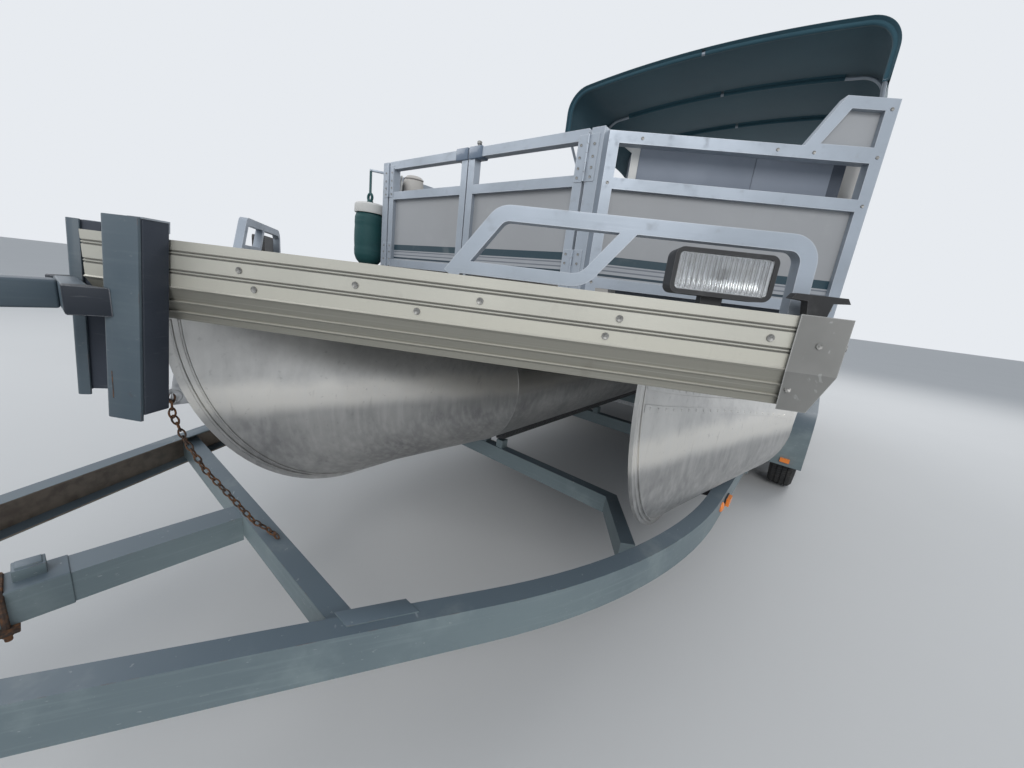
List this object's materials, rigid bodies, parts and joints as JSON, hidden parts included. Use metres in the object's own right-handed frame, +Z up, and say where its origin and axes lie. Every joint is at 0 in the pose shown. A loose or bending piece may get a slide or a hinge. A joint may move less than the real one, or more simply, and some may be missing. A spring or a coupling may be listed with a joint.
{
  "type": "pontoon boat on trailer",
  "caption": "Three-tube pontoon boat with fenced deck, gates, seats, helm, green sunshade and tilting outboard, standing on its tandem-axle trailer.",
  "frame": {"origin": "ground level under the middle of the whole length, coupler to propeller", "axes": "+X to port, +Y aft along the boat, +Z up"},
  "size_m": [2.59, 9.001, 3.157],
  "materials": {
    "tube_alloy": "brushed",
    "rail_alloy": "satin anodised",
    "fascia": "champagne anodised",
    "edge_trim": "satin",
    "deck_vinyl": "woven vinyl",
    "panel": "baked enamel",
    "canopy": "woven canvas",
    "seat_vinyl": "stitched vinyl",
    "seat_shell": "moulded",
    "black_plastic": "moulded",
    "lens": "ribbed clear",
    "lamp": "amber",
    "trailer_paint": "enamel",
    "carpet": "carpet",
    "pad": "rubber",
    "zinc": "zinc plated",
    "tyre": "rubber",
    "rim": "silver enamel",
    "motor_paint": "gloss enamel",
    "cowl": "gloss",
    "fender": "vinyl"
  },
  "bodies": {
    "boat_and_trailer": {"axles": "zinc", "bow_fascia": "fascia", "bunks": "carpet", "cleats": "black_plastic", "cross_beams": "tube_alloy", "cushions": "seat_vinyl", "deck": "deck_vinyl", "deck_trim": "edge_trim", "docking_lenses": "lens", "docking_lights": "black_plastic", "fence_bow_port": "rail_alloy", "fence_bow_starboard": "rail_alloy", "fence_panels": "panel", "fence_side_port": "rail_alloy", "fence_side_starboard": "rail_alloy", "fence_stern": "rail_alloy", "grab_loops": "rail_alloy", "guide_pads": "pad", "helm_console": "seat_shell", "hull_fender": "fender", "motor_clamp": "motor_paint", "motor_mount": "tube_alloy", "mudguards": "trailer_paint", "pontoon_centre": "tube_alloy", "pontoon_port": "tube_alloy", "pontoon_starboard": "tube_alloy", "seat_bases": "seat_shell", "shade_bows": "rail_alloy", "sunshade": "canopy", "trailer_cross_members": "trailer_paint", "trailer_lamps": "lamp", "trailer_side_rails": "trailer_paint", "trailer_tongue": "trailer_paint", "winch_stand": "trailer_paint"},
    "wheel_port_front": {"tyre_port_front": "tyre", "rim_port_front": "rim"},
    "wheel_port_rear": {"tyre_port_rear": "tyre", "rim_port_rear": "rim"},
    "wheel_starboard_front": {"tyre_starboard_front": "tyre", "rim_starboard_front": "rim"},
    "wheel_starboard_rear": {"tyre_starboard_rear": "tyre", "rim_starboard_rear": "rim"},
    "jack": {"tongue_jack": "zinc"},
    "gate_port": {"gate_port_frame": "rail_alloy", "gate_port_panel": "panel"},
    "gate_starboard": {"gate_starboard_frame": "rail_alloy", "gate_starboard_panel": "panel"},
    "gate_stern": {"stern_gate": "rail_alloy"},
    "chair": {"captain_chair": "seat_vinyl"},
    "helm_wheel": {"steering_wheel": "black_plastic"},
    "swivel": {"motor_swivel": "motor_paint"},
    "motor": {"motor_leg": "motor_paint", "motor_cowl": "cowl"},
    "prop": {"propeller": "zinc"}
  },
  "joints": [
    {"name": "wheel_port_front_spin", "type": "hinge", "parent": "boat_and_trailer", "child": "wheel_port_front", "pos_m": [1.185, 0.5295, 0.305], "axis": [1, 0, 0], "continuous": true},
    {"name": "wheel_port_rear_spin", "type": "hinge", "parent": "boat_and_trailer", "child": "wheel_port_rear", "pos_m": [1.185, 1.3295, 0.305], "axis": [1, 0, 0], "continuous": true},
    {"name": "wheel_starboard_front_spin", "type": "hinge", "parent": "boat_and_trailer", "child": "wheel_starboard_front", "pos_m": [-1.185, 0.5295, 0.305], "axis": [1, 0, 0], "continuous": true},
    {"name": "wheel_starboard_rear_spin", "type": "hinge", "parent": "boat_and_trailer", "child": "wheel_starboard_rear", "pos_m": [-1.185, 1.3295, 0.305], "axis": [1, 0, 0], "continuous": true},
    {"name": "jack_swing", "type": "hinge", "parent": "boat_and_trailer", "child": "jack", "pos_m": [0.1015, -4.1205, 0.44], "axis": [1, 0, 0], "range_deg": [0, 90]},
    {"name": "gate_port_swing", "type": "hinge", "parent": "boat_and_trailer", "child": "gate_port", "pos_m": [0.513, -2.1445, 1.5], "axis": [0, 0, 1], "range_deg": [0, 90]},
    {"name": "gate_starboard_swing", "type": "hinge", "parent": "boat_and_trailer", "child": "gate_starboard", "pos_m": [-0.513, -2.1445, 1.5], "axis": [0, 0, -1], "range_deg": [0, 90]},
    {"name": "gate_stern_swing", "type": "hinge", "parent": "boat_and_trailer", "child": "gate_stern", "pos_m": [0.865, 3.0435, 1.5], "axis": [0, 0, 1], "range_deg": [0, 90]},
    {"name": "chair_turn", "type": "hinge", "parent": "boat_and_trailer", "child": "chair", "pos_m": [-0.7, 1.5295, 1.6], "axis": [0, 0, 1], "continuous": true},
    {"name": "helm_turn", "type": "hinge", "parent": "boat_and_trailer", "child": "helm_wheel", "pos_m": [-0.76, 0.9795, 2.037], "axis": [0, 0.866, 0.5], "range_deg": [-450, 450]},
    {"name": "motor_tilt", "type": "hinge", "parent": "boat_and_trailer", "child": "swivel", "pos_m": [0, 3.9845, 1.165], "axis": [1, 0, 0], "range_deg": [0, 60]},
    {"name": "motor_steer", "type": "hinge", "parent": "swivel", "child": "motor", "pos_m": [0, 4.0445, 1.08], "axis": [0, 0, 1], "range_deg": [-30, 30]},
    {"name": "prop_spin", "type": "hinge", "parent": "motor", "child": "prop", "pos_m": [0, 4.4555, 0.56], "axis": [0, 1, 0], "continuous": true}
  ],
  "couplings": [
    {"joint": "helm_turn", "follows": "motor_steer", "ratio": 15}
  ]
}
